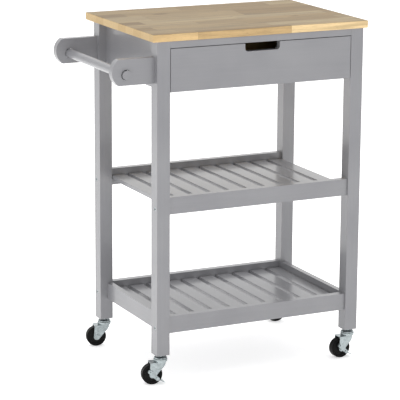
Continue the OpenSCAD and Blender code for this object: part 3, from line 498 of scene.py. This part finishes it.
class CART_OT_legs(bpy.types.Operator):
    """Four painted legs with eased edges"""
    bl_idname = "cart.legs"
    bl_label = "Legs"

    def execute(self, context):
        for name in CASTERS:
            eased(name + "_leg", sizes().board_edge, finish("satin_paint_along_z"))
        return {"FINISHED"}


class CART_OT_panels(bpy.types.Operator):
    """Side panels, back panel, the thin front rail and the lower side rails"""
    bl_idname = "cart.panels"
    bl_label = "Panels and rails"

    def execute(self, context):
        for name in ("left_side_panel", "right_side_panel", "left_lower_rail", "right_lower_rail"):
            eased(name, sizes().board_edge, finish("satin_paint_along_y"))
        for name in ("back_panel", "front_top_rail"):
            eased(name, sizes().board_edge * 0.6, finish("satin_paint_along_x"))
        return {"FINISHED"}


class CART_OT_shelves(bpy.types.Operator):
    """Shelf rails and slats"""
    bl_idname = "cart.shelves"
    bl_label = "Shelves"

    def execute(self, context):
        for level in ("middle", "lower"):
            for side in ("front", "back"):
                eased(f"{level}_{side}_rail", sizes().board_edge, finish("satin_paint_along_x"))
            eased(level + "_slats", sizes().slat_edge, finish("satin_paint_along_y"))
        return {"FINISHED"}


class CART_OT_towel_bar(bpy.types.Operator):
    """Towel bar and its two brackets"""
    bl_idname = "cart.towel_bar"
    bl_label = "Towel bar"

    def execute(self, context):
        for name in ("front_bar_bracket", "back_bar_bracket"):
            eased(name, sizes().bracket_edge, finish("satin_paint_along_x"))
        eased("towel_bar", sizes().bracket_edge, finish("satin_paint_along_y"), short_edges=True)
        return {"FINISHED"}


class CART_OT_drawer(bpy.types.Operator):
    """Drawer front, box, runners and rollers"""
    bl_idname = "cart.drawer"
    bl_label = "Drawer"

    def execute(self, context):
        eased("drawer_front", sizes().board_edge, finish("satin_paint_along_x"))
        for name in ("drawer_left_side", "drawer_right_side"):
            eased(name, sizes().board_edge * 0.7, finish("lacquered_plywood_along_y"))
        eased("drawer_back", sizes().board_edge * 0.7, finish("lacquered_plywood_along_x"))
        plain = {
            "drawer_bottom": "lacquered_plywood_along_x", "drawer_dowels": "turned_beech",
            "drawer_screws": "bright_zinc_plated_steel",
            "left_cabinet_runner": "powder_coated_steel", "right_cabinet_runner": "powder_coated_steel",
            "left_drawer_runner": "powder_coated_steel", "right_drawer_runner": "powder_coated_steel",
            "cabinet_rollers": "moulded_white_nylon", "drawer_rollers": "moulded_white_nylon",
        }
        refinish(plain)
        return {"FINISHED"}


def refinish(plain):
    """Gives CAD nodes that keep their shape a proper material."""
    for name, material in plain.items():
        mesh = frame["nodes"][name].data
        mesh.materials.clear()
        mesh.materials.append(finish(material))


class CART_OT_fasteners(bpy.types.Operator):
    """Bolts, barrel nuts, dowels, screws, steel angles and caster sockets"""
    bl_idname = "cart.fasteners"
    bl_label = "Fasteners"

    def execute(self, context):
        refinish({n: "bright_zinc_plated_steel" for n in (
            "bar_screws", "rail_bolts", "barrel_nuts", "worktop_angles", "frame_screws", "caster_sockets")})
        refinish({"frame_dowels": "turned_beech"})
        return {"FINISHED"}


class CART_OT_casters(bpy.types.Operator):
    """Caster stems, forks, axles and the brake levers"""
    bl_idname = "cart.casters"
    bl_label = "Casters"

    def execute(self, context):
        zinc = finish("bright_zinc_plated_steel")
        for name in CASTERS:
            for kind in ("stem", "fork", "axle"):
                eased(f"{name}_{kind}", sizes().plate_edge, zinc, steps=2, short_edges=True)
        for name in BRAKED:
            eased(name + "_brake", sizes().plate_edge, zinc, steps=2, short_edges=True)
        return {"FINISHED"}


def caster_matrix(name):
    """From a caster's own axes, wheel axle on Y, to its place on the cart, at the wheel's centre."""
    for j in frame["record"]["behaviour"]["joints"]:
        if j["name"] == name + "_wheel_turn":
            y = Vector(j["axis"]).normalized()
            x = y.cross(Vector((0, 0, 1)))
            m = Matrix((x, y, Vector((0, 0, 1)))).transposed().to_4x4()
            return Matrix.Translation(Vector(j["pos_m"])) @ m
    raise RuntimeError(name + " has no wheel joint")


class CART_OT_wheels(bpy.types.Operator):
    """Four moulded wheels: rounded tread, dished sides with raised rings, and a hub"""
    bl_idname = "cart.wheels"
    bl_label = "Wheels"

    def execute(self, context):
        lo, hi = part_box("back_left_wheel")
        radius = (hi.z - lo.z) / 2
        bpy.ops.object.select_all(action="DESELECT")
        bpy.ops.mesh.primitive_cylinder_add(vertices=72, radius=radius, depth=2 * WHEEL_HALF, location=(0, 0, 0),
                                            rotation=(math.pi / 2, 0, 0))
        wheel = bpy.context.active_object
        wheel.name = "caster_wheel_model"
        select_only(wheel)
        bpy.ops.object.transform_apply(location=False, rotation=True, scale=True)
        wanted = radius / MM - WHEEL_BORE

        def work(bm):
            scale = wanted / sum(inwards for inwards, _ in WHEEL_RINGS)
            for side in (-1, 1):
                bm = bmesh.from_edit_mesh(wheel.data)
                pick(bm, "faces", lambda f: len(f.verts) > 8 and f.calc_center_median().y * side > 0)
                for step, out in WHEEL_RINGS:
                    bpy.ops.mesh.inset(thickness=step * scale * MM, depth=0)
                    if out:
                        bpy.ops.transform.translate(value=(0, out * side * MM, 0))
            bm = bmesh.from_edit_mesh(wheel.data)
            pick(bm, "faces", lambda f: len(f.verts) > 8)
            bpy.ops.mesh.bridge_edge_loops()
            bm = bmesh.from_edit_mesh(wheel.data)
            pick(bm, "edges", lambda e: all(abs(v.co.xz.length - radius) < 0.01 * MM for v in e.verts)
                 and abs(e.verts[0].co.y - e.verts[1].co.y) < 0.01 * MM)
            bpy.ops.mesh.bevel(offset=TREAD_ROUNDING, segments=5, affect="EDGES", clamp_overlap=False)
            bpy.ops.mesh.select_all(action="SELECT")
            bpy.ops.mesh.normals_make_consistent(inside=False)

        in_edit(wheel, work)
        smooth(wheel, 30)
        for name in CASTERS:
            copy = wheel.copy()
            copy.data = wheel.data.copy()
            copy.name = name + "_moulded_wheel"
            bpy.context.scene.collection.objects.link(copy)
            copy.matrix_world = caster_matrix(name)
            select_only(copy)
            bpy.ops.object.transform_apply(location=True, rotation=True, scale=True)
            stand_for(copy, finish("moulded_black_polypropylene"), name + "_wheel")
        bpy.data.objects.remove(wheel)
        return {"FINISHED"}


class CART_OT_stage(bpy.types.Operator):
    """White floor, soft lights and the camera"""
    bl_idname = "cart.stage"
    bl_label = "Stage"

    def execute(self, context):
        bpy.ops.object.select_all(action="DESELECT")
        bpy.ops.mesh.primitive_plane_add(size=60, location=(0, 0, 0))
        floor = bpy.context.active_object
        floor.name = "floor"
        floor.data.materials.append(finish("white_studio_vinyl"))
        world = bpy.data.worlds.new("studio")
        context.scene.world = world
        world.use_nodes = True
        sky = world.node_tree
        background = sky.nodes["Background"]
        background.inputs["Color"].default_value = (1, 1, 1, 1)
        # brighter above, behind and to the right than in front
        towards = add(sky, "VectorMath", {0: add(sky, "TexCoord").outputs["Generated"], 1: SKY_TOWARDS},
                      operation="DOT_PRODUCT")
        strength = add(sky, "MapRange", {"Value": towards.outputs["Value"], "From Min": -0.8, "From Max": 0.9,
                                         "To Min": SKY_STRENGTH[0], "To Max": SKY_STRENGTH[1]})
        sky.links.new(strength.outputs[0], background.inputs["Strength"])
        for name, place, size, power in LIGHTS:
            bpy.ops.object.light_add(type="AREA", location=place)
            lamp = bpy.context.active_object
            lamp.name = name
            lamp.data.size, lamp.data.energy = size, power
            lamp.rotation_euler = (Vector(AIM) - Vector(place)).to_track_quat("-Z", "Y").to_euler()
        azimuth, elevation, roll = (math.radians(v) for v in CAMERA_ANGLES)
        level = math.cos(elevation)
        ahead = Vector((-math.sin(azimuth) * level, math.cos(azimuth) * level, -math.sin(elevation)))
        right = Vector((math.cos(azimuth), math.sin(azimuth), 0))
        up = right.cross(ahead)
        x_axis = right * math.cos(roll) + up * math.sin(roll)
        y_axis = up * math.cos(roll) - right * math.sin(roll)
        data = bpy.data.cameras.new("camera")
        data.lens, data.sensor_width = CAMERA_LENS, CAMERA_SENSOR
        data.clip_start, data.clip_end = 0.1, 100
        camera = bpy.data.objects.new("camera", data)
        context.scene.collection.objects.link(camera)
        camera.matrix_world = Matrix.Translation(CAMERA_PLACE) @ Matrix(
            (x_axis, y_axis, -ahead)).transposed().to_4x4()
        context.scene.camera = camera
        context.scene.view_settings.view_transform = "Standard"
        return {"FINISHED"}


class CART_PT_panel(bpy.types.Panel):
    """Lists the cart's builders and settings"""
    bl_label = "Kitchen Cart"
    bl_idname = "CART_PT_panel"
    bl_space_type = "VIEW_3D"
    bl_region_type = "UI"
    bl_category = "Kitchen Cart"

    def draw(self, context):
        for op in BUILDERS:
            self.layout.operator(op.bl_idname)
        for group in (context.scene.cart.sizes, context.scene.cart.colours):
            for key in group.__annotations__:
                self.layout.prop(group, key)


BUILDERS = (CART_OT_worktop, CART_OT_legs, CART_OT_panels, CART_OT_shelves, CART_OT_towel_bar, CART_OT_drawer,
            CART_OT_fasteners, CART_OT_casters, CART_OT_wheels, CART_OT_stage)
CLASSES = (CartSizes, CartColours, CartSettings) + BUILDERS + (CART_PT_panel,)


def register():
    for cls in CLASSES:
        bpy.utils.register_class(cls)
    bpy.types.Scene.cart = bpy.props.PointerProperty(
        type=CartSettings, name="Cart", description="Kitchen cart settings")


def unregister():
    del bpy.types.Scene.cart
    for cls in reversed(CLASSES):
        bpy.utils.unregister_class(cls)


def main():
    register()
    for op in BUILDERS:
        group, name = op.bl_idname.split(".")
        getattr(getattr(bpy.ops, group), name)()


if __name__ == "__main__":
    main()
